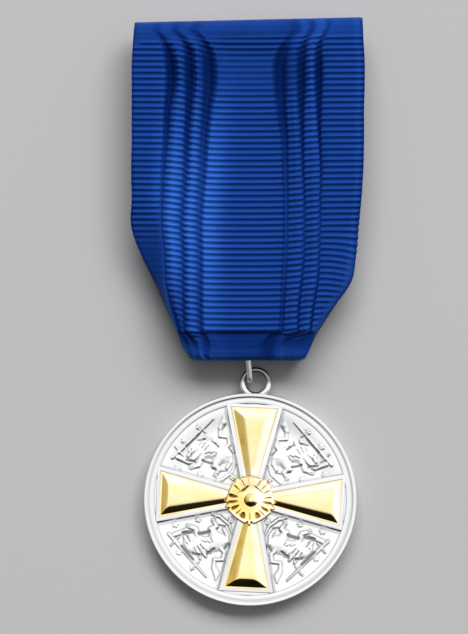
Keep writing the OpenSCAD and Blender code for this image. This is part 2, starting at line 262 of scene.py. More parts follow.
def cloth_material():
    """Ribbed silk: cords with painted shade in the grooves between them, painted light and shade over the
    folds, and the fine threads that run along the ribbon.
    """
    # The grooves' darker blue is painted shade between the cords.
    groove, cord = (0.0042, 0.029, 0.165, 1), (0.0150, 0.0765, 0.406, 1)
    thread, patch = (0.0075, 0.042, 0.24, 1), (0.0065, 0.039, 0.23, 1)
    m = Maker(bpy.data.materials.new("ribbed_silk"))
    weave_and_groove_shade = m.marked("weave_and_groove_shade", "Vector")
    height = m.node("ShaderNodeSeparateXYZ", {"Vector": weave_and_groove_shade})["Z"]
    threads = m.noise(m.scaled(weave_and_groove_shade, (7.0, 0.5, 0.0)), 1.0, 3.0)
    patches = m.noise(m.scaled(weave_and_groove_shade, (0.35, 0.25, 0.0)), 1.0)
    shaded_ribs = m.mixed(height, groove, cord)
    threaded = m.mixed(m.ranged(threads, 0.0, 0.5, 0.35, 0.65), shaded_ribs, thread)
    mottled = m.mixed(m.ranged(patches, 0.0, 0.3), threaded, patch)
    # Painted light and shade: the blue is paler where the cloth is painted bright, and deeper where it is
    # painted dark.
    bright = m.marked("painted_shading")
    curves = {"X": 1.35, "Y": 1.08, "Z": 0.80}
    shades = {axis: m.maths("POWER", bright, curve) for axis, curve in curves.items()}
    painted_shading = m.node("ShaderNodeCombineXYZ", shades)["Vector"]
    m.set(Base_Color=m.scaled(mottled, painted_shading))
    m.set(Roughness=m.ranged(threads, 0.40, 0.55), Specular_Tint=(0.07, 0.30, 1.0, 1))
    m.set(Specular_IOR_Level=0.38, Sheen_Weight=0.05, Sheen_Roughness=0.4, Sheen_Tint=(0.15, 0.35, 1.0, 1))
    m.bump(threads, 6e-5, 0.6)
    return m.owner


def silver_material(name, shade, low, high, grain, depth):
    """Silver of a shade, with a roughness from low to high, a grain, and painted shade where it is marked."""
    # Marked places are painted a dark grey, as shade.
    painted_shade = (0.20, 0.20, 0.21, 1)
    m = Maker(bpy.data.materials.new(name))
    place = m.place()
    cloudy = m.noise(place, 160.0, 3.0)
    unshaded = m.mixed(cloudy, (shade - 0.03, shade - 0.03, shade - 0.02, 1), (shade + 0.03,) * 3 + (1,))
    m.set(Metallic=1.0, Base_Color=m.mixed(m.marked("painted_light"), unshaded, painted_shade))
    m.set(Roughness=m.ranged(cloudy, low, high, 0.3, 0.7))
    m.bump(m.noise(place, grain), depth, 0.5)
    return m.owner


# Gilding from the pale of a painted highlight, through gold, to the rich gold and dark brown of painted
# shade. Columns: place on the ramp, colour.
GILT_STOPS = [
    (0.0,  (0.97, 0.91, 0.80, 1)),
    (0.18, (0.98, 0.83, 0.54, 1)),
    (0.40, (0.97, 0.77, 0.41, 1)),
    (0.75, (0.95, 0.67, 0.17, 1)),
    (1.0,  (0.22, 0.12, 0.03, 1)),
]


def gilt_material():
    """Polished gilding, whose painted light runs from a pale highlight, 0, through gold, 0.4, and rich shade,
    0.75, to dark shade, 1.
    """
    m = Maker(bpy.data.materials.new("gilding"))
    place = m.place()
    cloudy = m.noise(place, 260.0, 3.0)
    clouds = m.ranged(cloudy, -0.10, 0.10, 0.35, 0.65)
    shade_level = m.maths("ADD", m.marked("painted_light"), clouds)
    colour_on_ramp = m.node("ShaderNodeValToRGB", {"Fac": shade_level})["Color"]
    stops = colour_on_ramp.node.color_ramp.elements
    for stop, colour in GILT_STOPS[1:-1]:
        stops.new(stop).color = colour
    stops[0].color, stops[len(stops) - 1].color = GILT_STOPS[0][1], GILT_STOPS[-1][1]
    m.set(Metallic=1.0, Base_Color=colour_on_ramp)
    m.set(Roughness=m.ranged(cloudy, 0.07, 0.14, 0.3, 0.7))
    hairlines = m.noise(m.scaled(place, (1.0, 6.0, 1.0)), 900.0)
    m.bump(hairlines, 4e-6, 0.4)
    return m.owner


def steel_material():
    """Satin steel, brushed along the brooch."""
    m = Maker(bpy.data.materials.new("satin_steel"))
    brushed = m.noise(m.scaled(m.place(), (60.0, 2500.0, 2500.0)), 1.0, 3.0)
    m.set(Metallic=1.0, Base_Color=m.mixed(brushed, (0.5, 0.5, 0.51, 1), (0.66, 0.66, 0.67, 1)))
    m.set(Roughness=m.ranged(brushed, 0.28, 0.42))
    m.bump(brushed, 1e-5, 0.5)
    return m.owner


def floor_material():
    m = Maker(bpy.data.materials.new("pale_floor"))
    m.set(Base_Color=(0.585, 0.585, 0.585, 1), Roughness=0.95, Specular_IOR_Level=0.1)
    return m.owner


# The ribbon: one closed band of ribbed cloth, made ring by ring round its loop.

# Height of the back, above the brooch.
BACK_Z = 2.7
# Front, a row for each level from the bottom lip to the top fold.
# Columns: y, left edge, left valleys 3 2 1, right valleys 1 2 3, right edge,
# half width of the first valley on the left and on the right, depth of the valleys,
# drop of the side edges, drop of the middle panel.
FRONT_ROWS = [
    (-6.7,  -9.2,  -8.6,  -7.6, -6.1, 2.9, 6.2,  8.0,  8.9, 0.60, 1.50, 0.05, 0.3, 0.95),
    (-4.9,  -9.9,  -9.3,  -8.2, -6.1, 2.9, 6.4,  8.5,  9.6, 0.70, 1.50, 0.10, 0.6, 0.66),
    (-3.2, -10.5, -10.0,  -9.2, -6.8, 4.0, 7.1,  9.1, 10.4, 0.60, 1.00, 0.30, 0.9, 0.42),
    (-2.9, -10.7, -10.2,  -9.5, -7.1, 5.1, 7.5,  9.3, 10.6, 0.50, 0.40, 0.50, 1.0, 0.0),
    (1.0,  -12.5, -11.5,  -9.6, -7.2, 5.3, 7.6,  9.8, 13.1, 0.50, 0.40, 0.50, 1.1, 0.0),
    (4.5,  -14.0, -12.3,  -9.7, -7.2, 5.5, 8.0, 10.4, 15.5, 0.50, 0.40, 0.35, 1.3, 0.0),
    (8.5,  -16.0, -12.5,  -9.7, -7.2, 5.7, 8.3, 10.6, 16.2, 0.50, 0.40, 0.22, 1.3, 0.0),
    (13.0, -17.5, -13.0, -10.0, -7.3, 5.8, 8.4, 10.7, 16.6, 0.50, 0.40, 0.20, 1.0, 0.0),
    (17.0, -17.4, -12.9,  -9.7, -7.1, 5.8, 8.4, 10.8, 17.0, 0.55, 0.45, 0.32, 0.3, 0.0),
    (21.5, -17.4, -12.7,  -9.4, -6.8, 5.7, 8.2, 10.9, 17.3, 0.65, 0.50, 0.50, 0.1, 0.0),
    (26.0, -17.4, -12.3,  -9.2, -6.6, 5.6, 8.1, 10.7, 17.4, 0.80, 0.65, 0.75, 0.1, 0.0),
    (30.5, -17.4, -12.0,  -8.9, -6.2, 5.1, 8.0, 10.6, 17.4, 1.00, 0.95, 1.00, 0.1, 0.0),
    (34.5, -17.4, -11.5,  -8.7, -5.8, 4.9, 8.0, 10.6, 17.5, 1.35, 1.35, 1.25, 0.1, 0.0),
    (37.2, -17.4, -11.6,  -8.8, -5.9, 4.9, 8.0, 10.6, 17.5, 1.35, 1.35, 1.15, 0.1, 0.0),
    (39.3, -17.3, -12.1,  -9.0, -6.2, 5.3, 8.2, 10.6, 17.4, 1.15, 1.15, 0.80, 0.1, 0.0),
    (40.8, -17.2, -12.8,  -9.8, -6.9, 6.0, 8.7, 11.0, 17.3, 0.95, 0.80, 0.28, 0.1, 0.0),
    (42.6, -17.1, -13.8, -11.0, -8.2, 7.1, 9.6, 12.0, 17.25, 1.00, 0.90, 0.12, 0.1, 0.1),
]
# Rows at the foot and the top of the crease, and a level between them.
CREASE_FOOT, CREASE_ROW = 2, 3
CREASE_Y = -3.0
# Folds and back, from the top fold down the back to the bottom lip.
# Columns: y, height of the back, rise towards the front as a share, left edge, right edge.
BACK_ROWS = [
    (43.6, BACK_Z,       0.88, -17.0, 17.2),
    (44.1, BACK_Z,       0.68, -17.0, 17.2),
    (44.2, BACK_Z,       0.44, -17.0, 17.2),
    (43.9, BACK_Z,       0.18, -17.0, 17.2),
    (43.1, BACK_Z,       0.0,  -17.0, 17.2),
    (32.0, BACK_Z,       0.0,  -17.2, 17.1),
    (14.0, BACK_Z,       0.0,  -17.0, 16.4),
    (9.3,  BACK_Z - 0.2, 0.0,  -16.0, 16.0),
    (4.8,  BACK_Z - 0.5, 0.0,  -13.9, 15.3),
    (0.0,  BACK_Z - 1.0, 0.0,  -11.9, 12.1),
    (-3.0, LIP_Z + 0.2,  0.0,  -10.5, 10.4),
    (-5.0, LIP_Z,        0.0,   -9.8,  9.5),
    (-6.1, LIP_Z,        0.12,  -9.2,  9.0),
    (-6.8, LIP_Z,        0.38,  -8.9,  8.7),
    (-7.2, LIP_Z,        0.65,  -8.8,  8.6),
    (-7.2, LIP_Z,        0.87,  -8.8,  8.7),
]
# Rows where the plain back starts and ends.
BACK_START, BACK_END = 4, 11
# Stretches across the front, from left to right.
# Columns: kind, strips, whole ribs that it lies lower, lift of the ribs at its left end,
# lift at its right end, painted brightness.
STRETCHES = [
    ("outer left",  12, 0, 0.05, -0.05, 0.97),
    ("valley",      7, 0, 0.0, 0.0, 1.00),
    ("left ridge",  8, 0, -0.10, -0.85, 0.98),
    ("valley",      7, 0, 0.0, 0.0, 1.00),
    ("left ridge",  8, 1, -0.05, -0.60, 0.98),
    ("valley",      7, 0, 0.0, 0.0, 1.00),
    ("middle",     18, 2, 0.25, 0.20, 1.00),
    ("valley",      7, 0, 0.0, 0.0, 1.00),
    ("right ridge", 7, 2, 0.25, 0.75, 1.05),
    ("valley",      5, 0, 0.0, 0.0, 1.00),
    ("right ridge", 7, 1, -0.05, 0.50, 1.08),
    ("valley",      5, 0, 0.0, 0.0, 1.00),
    ("outer right", 12, 0, -0.15, 0.05, 0.96),
]
# Each valley's half width as a share of the first one's on its side, and the shade painted in it below the
# crease.
VALLEY_SHARES = [0.80, 0.74, 1.00, 1.00, 0.70, 0.64]
FLAP_SHADES = [0.10, 0.15, 0.60, 0.85, 0.20, 0.10]
LEAST_HALF = 0.32
# Steps down from the middle panel at each edge of a stretch.
PANEL_STEPS = [3, 3, 2, 2, 1, 1, 0, 0, 1, 1, 2, 2, 3, 3]
PANEL_STEP = 0.15
CLOTH_T = 0.5
RIB_PITCH = 0.88
RIB_HEIGHT = 0.23
RIB_START = 0.16
# The folded edges of the side pleats, and of the middle panel.
RIDGE_RISE = 0.6
LEFT_CURL, RIGHT_CURL = 0.40, 0.15
CURL_LENGTH = 1.4
# A valley's depth for each unit in the table, and the shade painted in it.
VALLEY_DROP = 0.85
DARKEST_DEPTH = 1.1
VALLEY_SHADE = 0.76
TOP_SHADE = 0.50
LEAST_SHADE = 0.42
# Painted sheen on the folds that face left.
GLOW = 1.45
GLOW_LENGTH = 2.2
OUTER_LEFT_X, OUTER_RIGHT_X = -9.5, 8.0
# Painted brightness below the crease, where the flap is in shade, and of the inner side.
FLAP_PAINTED_SHADE, SIDE_FLAP_PAINTED_SHADE = 0.45, 0.62
INNER_TONE = 0.8
# The slanted top fold and the rounded corners.
TOP_SLANT, SLANT_FROM = 0.8, 41.0
BAND_SLOPE = 0.035
TOP_CORNER, TOP_CORNER_X = 0.30, 16.6
CORNER_LIFT, CORNER_X, CORNER_FROM = 0.26, 7.6, -5.8


def ridge_rise(t):
    """A pleat seen from its folded edge: a round fold, and a slope down to the next pleat."""
    return RIDGE_RISE * (1 - t) * smooth(0, 0.35, t)


def left_glow(y):
    """Painted sheen: how much brighter the left pleats are than the panels, most in the middle of their
    length.
    """
    return GLOW * smooth(39, 17, y) * (0.25 + 0.75 * smooth(-8, 14, y))


def edge_shading(distance, cord):
    """Painted light along a side edge: a dark line of painted shade at the edge itself, and a painted
    highlight on the cord beside it.
    """
    return cord * bell(distance, 0.9, 0.35) - 0.5 * bell(distance, 0, 0.3)


def stretch_edges(row):
    """Edges of the stretches at one level, from left to right."""
    _, left, l3, l2, l1, r1, r2, r3, right, left_half, right_half, *_ = row
    edges = [left]
    for valley, share in zip((l3, l2, l1, r1, r2, r3), VALLEY_SHARES):
        half_w = max(LEAST_HALF, share * (left_half if valley < 0 else right_half))
        edges += [valley - half_w, valley + half_w]
    return edges + [right]


def stretch_shares(kind, strips):
    """Shares of the way across a stretch, closer together where the cloth bends."""
    t = np.linspace(0, 1, strips + 1)
    if kind == "middle":
        return (1 - np.cos(math.pi * t)) / 2
    if kind == "outer left":
        return t ** 1.7
    if kind == "outer right":
        return 1 - (1 - t) ** 1.7
    return t


def stretch_lifts(y):
    """Lift of the ribs at both ends of each stretch; a valley joins its neighbours."""
    tilt = 0.40 - 0.20 * smooth(14, 37, y)
    lifts = [(tilt * a - RIB_PITCH * down, tilt * b - RIB_PITCH * down) for _, _, down, a, b, _ in STRETCHES]
    for i, (kind, *_) in enumerate(STRETCHES):
        if kind == "valley":
            lifts[i] = (lifts[i - 1][1], lifts[i + 1][0])
    return lifts


def valley_shade(y, depth, number):
    """How dark the middle of a valley is, as a share of the darkest."""
    if y < CREASE_Y:
        return FLAP_SHADES[number]
    least = LEAST_SHADE * smooth(40, 37, y)
    below_band = TOP_SHADE * smooth(39.3, 40.8, y)
    return max(min(1, depth / DARKEST_DEPTH), least, below_band)


def front_section(row):
    """Points across the front at one level: x, height, lift of the ribs, painted brightness, share of the
    ribs.
    """
    y, *_, depth, edge_drop, middle_drop = row
    edges, lifts = stretch_edges(row), stretch_lifts(y)
    level = FRONT_Z - RIB_HEIGHT - middle_drop
    folded = (0.3 + 0.7 * smooth(-5.5, -2.8, y)) * smooth(42.5, 38.5, y)
    glow = left_glow(y)
    section = []
    for i, (kind, strips, down, _, _, bright) in enumerate(STRETCHES):
        t = stretch_shares(kind, strips)[min(i, 1):]
        width = edges[i + 1] - edges[i]
        from_left, from_right = t * width, (1 - t) * width
        x = edges[i] + from_left
        z = level - PANEL_STEP * (PANEL_STEPS[i] + (PANEL_STEPS[i + 1] - PANEL_STEPS[i]) * smooth(0, 1, t))
        lift_a, lift_b = lifts[i]
        lift = lift_a + (lift_b - lift_a) * t
        painted_shading = bright + 0 * t
        ribs = 1 + 0 * t
        if kind == "valley":
            shade = valley_shade(y, depth, i // 2)
            trough = 0.5 - 0.5 * np.cos(2 * math.pi * t)
            z = z - VALLEY_DROP * depth * trough
            # Painted shade in the valley, lightened on the left by the painted sheen.
            painted_shading = (1 - VALLEY_SHADE * shade * trough ** 0.3) * (1 + (0.35 * glow if x[0] < 0 else 0))
            ribs = 1 - 0.78 * max(shade, 0.9 * smooth(34, 26, y)) * trough ** 0.5
        elif kind == "left ridge":
            z = z + folded * ridge_rise(t)
            # Painted sheen on the left pleats, less on the outer one's lower part.
            lower = smooth(0, 8, y) if x[0] < OUTER_LEFT_X else 1
            painted_shading = bright + glow * lower * (0.35 + 0.65 * np.sin(math.pi * t))
        elif kind == "right ridge":
            z = z + folded * ridge_rise(1 - t)
            # Painted light on the upper part of the outer right ridge.
            painted_shading = painted_shading + (0.18 * smooth(18, 28, y) if x[0] > OUTER_RIGHT_X else 0)
        elif kind == "middle":
            left_curl = LEFT_CURL * (bell(from_left, 0, CURL_LENGTH) - 1)
            right_curl = RIGHT_CURL * (bell(from_right, 0, CURL_LENGTH) - 1)
            z = z + folded * (left_curl + right_curl)
            base = -RIB_PITCH * down
            lift = (base + (lift_a - base) * np.exp(-from_left / CURL_LENGTH)
                    + (lift_b - base) * np.exp(-from_right / CURL_LENGTH))
            # Painted sheen along the middle panel's left edge.
            painted_shading = painted_shading + glow * bell(from_left, 0.4, GLOW_LENGTH)
        elif kind == "outer left":
            z = z - edge_drop * (1 - t)
            # Painted sheen beside the first valley, and the edge's painted light and shade.
            painted_shading = painted_shading + 0.4 * glow * smooth(13, 17, y) * bell(from_right, 0, 1.2)
            painted_shading = painted_shading + edge_shading(from_left, 0.0)
        else:
            z = z - edge_drop * t ** 2.5
            lift = lift - 0.8 * smooth(1, 5, y) * smooth(12, 8, y) * t ** 2
            # The edge's painted light and shade.
            painted_shading = painted_shading + edge_shading(from_right, 0.3)
        # Painted shade below the crease, where the flap faces down, with a lighter painted band along the
        # bottom lip.
        if y < CREASE_Y:
            flap_painted_shade = FLAP_PAINTED_SHADE if kind == "middle" else SIDE_FLAP_PAINTED_SHADE
            painted_shading = painted_shading * flap_painted_shade * (1 + smooth(-5.4, -6.6, y))
        section.append(np.stack([x, z, lift, painted_shading, ribs], axis=-1))
    return np.concatenate(section)


def shifted_y(x, y):
    """The top fold slants from right to left, and the corners at both ends are rounded off."""
    if y > SLANT_FROM:
        share = (y - SLANT_FROM) / (RIBBON_HIGH[1] - SLANT_FROM)
        rounding = TOP_CORNER * np.maximum(0, np.abs(x) - TOP_CORNER_X) ** 2
        return y - share * (TOP_SLANT * (0.5 - x / (RIBBON_HIGH[0] - RIBBON_LOW[0])) + rounding)
    if y < CORNER_FROM:
        return y + CORNER_LIFT * (CORNER_FROM - y) * np.maximum(0, np.abs(x) - CORNER_X) ** 2
    return y + 0 * x


def control_rings():
    """Rings of the band from left to right: x, y, z, lift of the ribs, painted brightness and share of the
    ribs.
    """
    rings = []
    for row in FRONT_ROWS:
        x, z, lift, painted_shading, ribs = front_section(row).T
        rings.append(np.stack([x, shifted_y(x, row[0]), z, lift, painted_shading, ribs], axis=-1))
    for y, base_z, rise, left, right in BACK_ROWS:
        x, z, lift, painted_shading, ribs = front_section(FRONT_ROWS[-1] if y > 10 else FRONT_ROWS[0]).T
        even = np.linspace(0, 1, len(x))
        share = rise * (x - x[0]) / (x[-1] - x[0]) + (1 - rise) * even
        x = left + (right - left) * share
        z = base_z + rise * (z - base_z)
        painted_shading = 1 + rise * (painted_shading - 1)
        rings.append(np.stack([x, shifted_y(x, y), z, rise * lift, painted_shading, ribs], axis=-1))
    return np.array(rings)


def loop_rows(rings, distances, samples):
    """Smooth rows at the given distances round the loop, with sharp bends at the crease."""
    creased = [CREASE_FOOT, CREASE_ROW]
    lengths = np.diff(distances)[:, None, None]
    slope_out = (np.roll(rings, -1, axis=0) - rings) / lengths
    slope_in = np.roll(slope_out, 1, axis=0)
    before = np.roll(lengths, 1, axis=0)
    slope = (slope_out * before + slope_in * lengths) / (before + lengths)
    leave, arrive = slope.copy(), slope.copy()
    leave[creased], arrive[creased] = slope_out[creased], slope_in[creased]
    segment = np.clip(np.searchsorted(distances, samples, side="right") - 1, 0, len(rings) - 1)
    length = lengths[segment]
    t = (samples - distances[segment])[:, None, None] / length
    following = (segment + 1) % len(rings)
    return ((2 * t**3 - 3 * t**2 + 1) * rings[segment] + (t**3 - 2 * t**2 + t) * length * leave[segment]
            + (3 * t**2 - 2 * t**3) * rings[following] + (t**3 - t**2) * length * arrive[following])


def ring_distances(rings):
    """Distance round the loop of each ring, and the whole loop, along the middle of the cloth."""
    middle = rings[:, rings.shape[1] // 2, :3]
    steps = np.linalg.norm(np.roll(middle, -1, axis=0) - middle, axis=1)
    return np.concatenate([[0], np.cumsum(steps)])


def ribbon_samples(distances):
    """Sample distances: fine steps that fit the ribs on the front, coarser ones round the back."""
    foot, crease = distances[CREASE_FOOT], distances[CREASE_ROW]
    front_end, back_start, back_end = distances[len(FRONT_ROWS) + np.array([-1, BACK_START, BACK_END])]
    fine, coarse = RIB_PITCH / 8, RIB_PITCH / 4
    folds = fine * 1.5
    stretches = [
        np.arange(foot, 0, -fine)[::-1],
        np.linspace(foot, crease, 6)[1:],
        np.arange(crease + fine, front_end, fine),
        np.arange(front_end, back_start, folds),
        np.arange(back_start, back_end, coarse),
        np.arange(back_end, distances[-1] - 0.05, folds),
    ]
    return np.concatenate(stretches)


def surface_normals(rows):
    """Outward unit normals of a closed band of rows."""
    along = np.roll(rows, -1, axis=0) - np.roll(rows, 1, axis=0)
    across = np.gradient(rows, axis=1)
    normals = np.cross(across, along)
    return normals / np.linalg.norm(normals, axis=-1, keepdims=True)


def on_front(rows):
    """1 on the front cloth, falling to 0 in the folds to the back."""
    return smooth(3.4, 4.0, rows[..., 2])


def near_middle(x):
    """1 on the middle panel, falling to 0 on the side pleats."""
    return smooth(9.0, 6.0, np.abs(x))


def rib_strength(rows, ribs):
    """How far the ribs stand out: least in the folds, at the lower edges and on the upper front."""
    x, y = rows[..., 0], rows[..., 1]
    top = 41.2 + BAND_SLOPE * x - 0.7 * smooth(-15.5, -17.0, x)
    beside = smooth(0, 1.5, np.maximum(-6.4 - x, x - 4.8))
    level = smooth(-3.1 - 1.6 * beside, -2.8 - 0.5 * beside, y) * (1 - smooth(-0.4, 0.3, y - top))
    fainter = 0.50 * smooth(31, 35, y) * smooth(39.5, 37.5, y) * near_middle(x)
    ends = 0.12 + 0.88 * level * (1 - fainter)
    left_facet = smooth(-12.0, -13.2, x) * smooth(15.5, 8.0, y)
    from_edge = np.minimum(x - x[:, :1], x[:, -1:] - x)
    rolled_edge = smooth(2.0, 0.3, from_edge) * smooth(10.0, 6.0, y)
    facets = 1 - 0.9 * np.clip(left_facet + rolled_edge, 0, 1)
    front = on_front(rows)
    return ends * facets * front * ribs + 0.6 * (1 - front)


def painted_facet_shading(rows):
    """Share of the painted brightness that stays: painted shade on the lower left facet, which faces away
    from the light, darker on the upper front, and painted light and shade of the folds in the top band.
    """
    x, y = rows[..., 0], rows[..., 1]
    facet = 0.28 * smooth(-12.0, -13.0, x) * smooth(15.5, 8.0, y) * on_front(rows)
    upper = 0.13 * smooth(29, 37, y) * near_middle(x)
    patches = 0.10 * np.sin(0.55 * x + 0.8) * np.sin(0.21 * x) - 0.08
    return 1 - facet - upper + patches * smooth(40.6, 41.8, y - BAND_SLOPE * x)


def inner_side(rows):
    """Inner side of the cloth, one thickness in from a few columns of the outer side."""
    total = rows.shape[1]
    ends = np.cumsum([strips for _, strips, *_ in STRETCHES])
    valleys = [end - strips // 2 - 1 for end, (kind, strips, *_) in zip(ends, STRETCHES) if kind == "valley"]
    picked = rows[:, np.unique([0, *valleys, total // 2, total - 1])]
    run = np.roll(picked, -1, axis=0) - np.roll(picked, 1, axis=0)
    inward = np.stack([0 * run[..., 0], run[..., 2], -run[..., 1]], axis=-1)
    return picked + CLOTH_T * inward / np.linalg.norm(inward, axis=-1, keepdims=True)


def band_faces(count, outer, inner):
    """Faces of a closed band of count rows: its outer and inner side, and both rims."""
    inside = count * outer
    row = np.arange(count)
    following = (row + 1) % count
    corners = [row * outer, inside + row * inner, inside + following * inner, following * outer]
    left_rim = np.stack(corners, axis=-1)
    right_rim = left_rim + np.array([outer - 1, inner - 1, inner - 1, outer - 1])
    return [grid_faces(count, outer, rows_close=True),
            grid_faces(count, inner, start=inside, rows_close=True), left_rim, right_rim]


def make_ribbon(material):
    """The band of cloth, marked with the run of its threads, the painted shade of its grooves, and its
    painted light and shade for the material.
    """
    rings = control_rings()
    distances = ring_distances(rings)
    samples = ribbon_samples(distances)
    spread = loop_rows(rings, distances, samples)
    rows, lift, painted_shading = spread[..., :3], spread[..., 3], spread[..., 4]
    phase = (samples - distances[CREASE_ROW])[:, None] / RIB_PITCH - lift / RIB_PITCH + RIB_START
    cord = 0.5 - 0.5 * np.cos(2 * math.pi * phase)
    strength = rib_strength(rows, spread[..., 5])
    outer = rows + surface_normals(rows) * (RIB_HEIGHT * strength * cord)[..., None]
    inner = inner_side(rows)
    points = np.concatenate([outer.reshape(-1, 3), inner.reshape(-1, 3)])
    faces = band_faces(len(samples), outer.shape[1], inner.shape[1])
    piece = make_piece("ribbon_cloth", [(points, faces, 0)], [material])
    # The third value runs from the grooves' painted shade to the cords' colour, and is middling where the
    # ribs fade.
    sides = ((rows, cord * strength + (1 - strength) * 0.55), (inner, 0.6))
    weave_and_groove_shade = [point_list(side[..., 0], samples[:, None], share) for side, share in sides]
    painted_shadings = (painted_shading * painted_facet_shading(rows), np.full(inner.shape[:2], INNER_TONE))
    mark_points(piece.data, "weave_and_groove_shade", np.concatenate(weave_and_groove_shade))
    mark_points(piece.data, "painted_shading", np.concatenate([part.ravel() for part in painted_shadings]))
    return piece


# The medal: a struck disc with a cross frame, figures in its quarters and a soldered eyelet.

# The raised frame of one arm. Its end is drawn in by a share of its sides.
FRAME_REACH = 14.2
FRAME_HALF = 4.45
ARM_FLARE = 0.235
BORDER_W = 0.95
END_SHARE = 0.58
CROSS_SHIFT = 0.2
FIELD_Z = MEDAL_T - 0.7
FRAME_Z = MEDAL_T - 0.1
POCKET_Z = FRAME_Z - 0.3
FRAME_FOOT_Z = FIELD_Z - 0.3
TILE_FOOT_Z = FIELD_Z - 0.4
FIELD_R = 14.45
DISH_FROM = 11.0
FIELD_RISE = 0.42
EYELET_RING_R = 1.95
EYELET_WIRE_R = 0.40
EYELET_Z = 1.5
EYELET_SUNK = 0.35
SOLDER_W = 0.14
# The figures are spread away from a distance out, and the lower ones get more painted shade and wider cuts.
RELIEF_H = 0.19
BEAST_SPREAD = 1.05
FIGURE_OUT = 9.9
STROKE_WIDENING = 1.22
LOWER_DARKENING = 2.3

# Strokes of one heraldic beast with a sword, seen with the rim upwards.
# Columns: start across, start out, start radius, end across, end out, end radius, share of the height.
BEAST = [
    (1.4, 7.9, 1.1, 1.0, 8.8, 1.0, 1.0),  # haunch
    (1.0, 8.8, 0.95, 0.3, 9.9, 1.0, 0.9),  # belly
    (0.3, 9.9, 1.1, -0.2, 10.7, 1.0, 1.0),  # chest and mane
    (-0.7, 11.3, 0.75, -1.4, 11.2, 0.62, 1.1),  # head
    (-1.4, 11.2, 0.45, -2.3, 11.0, 0.3, 1.0),  # muzzle
    (-1.3, 10.8, 0.34, -2.1, 10.5, 0.2, 0.8),  # jaw
    (0.6, 11.1, 0.36, 1.5, 11.5, 0.16, 1.0),  # upper mane lock
    (0.9, 10.5, 0.36, 1.8, 10.7, 0.16, 1.0),  # middle mane lock
    (0.9, 9.8, 0.36, 1.8, 9.8, 0.16, 1.0),  # lower mane lock
    (0.9, 7.9, 0.85, -0.5, 7.5, 0.5, 1.1),  # near thigh
    (-0.5, 7.5, 0.42, -0.4, 6.6, 0.32, 1.0),  # near shank
    (-0.4, 6.6, 0.32, -1.4, 6.4, 0.28, 0.95),  # near hind paw
    (1.7, 7.8, 0.65, 2.1, 7.1, 0.42, 0.8),  # far thigh
    (2.1, 7.1, 0.36, 1.5, 6.3, 0.3, 0.75),  # far shank
    (1.5, 6.3, 0.3, 0.6, 6.1, 0.26, 0.75),  # far hind paw
    (-0.6, 9.7, 0.48, -2.2, 9.1, 0.36, 0.8),  # lower foreleg
    (-2.2, 9.1, 0.34, -3.2, 9.6, 0.3, 0.8),  # lower forepaw
    (-0.8, 10.3, 0.46, -2.9, 10.3, 0.38, 1.05),  # raised foreleg
    (-2.9, 10.3, 0.36, -3.6, 11.9, 0.34, 1.0),  # raised forearm
    (-4.2, 12.4, 0.24, -3.1, 12.4, 0.22, 0.9),  # grip
    (-2.9, 11.6, 0.14, -2.8, 13.3, 0.14, 0.9),  # guard
    (1.7, 11.9, 0.11, 1.8, 13.6, 0.09, 0.8),  # blade's cross stroke
    (-3.0, 12.4, 0.28, 3.9, 12.6, 0.14, 0.95),  # blade
    (2.1, 8.3, 0.32, 3.1, 8.3, 0.28, 0.8),  # tail root
    (3.1, 8.3, 0.28, 3.7, 9.2, 0.26, 0.8),  # tail, first bend
    (3.7, 9.2, 0.26, 2.9, 10.1, 0.25, 0.8),  # tail, second bend
    (2.9, 10.1, 0.25, 3.7, 10.9, 0.28, 0.8),  # tail, third bend
    (3.7, 10.9, 0.34, 4.6, 11.2, 0.44, 0.9),  # tail tuft
    (4.6, 11.2, 0.42, 5.2, 11.9, 0.12, 0.9),  # tuft tip
    (-2.1, 5.9, 0.2, -1.1, 5.3, 0.26, 0.8),  # sabre hilt
    (-1.1, 5.3, 0.26, 0.6, 5.1, 0.25, 0.8),  # sabre blade
    (0.6, 5.1, 0.25, 1.9, 5.7, 0.11, 0.8),  # sabre point
    (-1.9, 5.4, 0.13, -1.4, 6.0, 0.13, 0.8),  # sabre guard
]
# Engraved lines. Columns: start across, start out, end across, end out, half width, depth as a share.
ENGRAVED = [
    (-1.6, 11.45, -1.35, 11.45, 0.12, 0.6),  # eye
    (-2.4, 10.78, -1.3, 10.9, 0.11, 0.9),  # mouth
    (-0.3, 11.1, 0.5, 11.4, 0.11, 0.7),  # mane
    (-0.2, 10.6, 0.7, 10.8, 0.11, 0.7),  # mane
    (-0.1, 10.1, 0.8, 10.2, 0.11, 0.7),  # mane
    (-0.4, 9.6, 0.3, 9.3, 0.11, 0.6),  # ribs
    (0.1, 9.1, 0.8, 8.9, 0.11, 0.6),  # ribs
    (0.2, 8.4, 0.9, 8.6, 0.11, 0.6),  # flank
    (-3.5, 9.8, -2.9, 9.4, 0.09, 0.7),  # claws
    (-1.6, 6.4, -1.0, 6.4, 0.09, 0.7),  # claws
]
# Deep cuts beside the figures, with painted shade in them.
# Columns: start across, start out, end across, end out, half width.
DEEP_CUTS = [
    (-1.7, 12.20, 0.8, 12.28, 0.17),  # under the blade
    (-2.9, 10.85, -2.2, 9.75, 0.18),  # inside the raised arm
    (-1.3, 9.15, -0.6, 8.0, 0.20),  # along the belly
    (0.2, 11.75, 1.0, 11.2, 0.13),  # under the crown of the mane
    (1.6, 10.3, 1.75, 9.1, 0.13),  # behind the mane
    (2.7, 7.9, 2.6, 7.0, 0.13),  # behind the far leg
    (-0.3, 6.2, 0.4, 5.7, 0.12),  # over the sabre
]
# Small roses. Columns: across, out, radius.
SMALL_ROSES = [
    (-2.9, 7.9, 0.45),
    (-4.6, 10.8, 0.50),
    (1.6, 13.05, 0.46),
    (-1.3, 13.05, 0.46),
    (0.3, 4.5, 0.50),
]


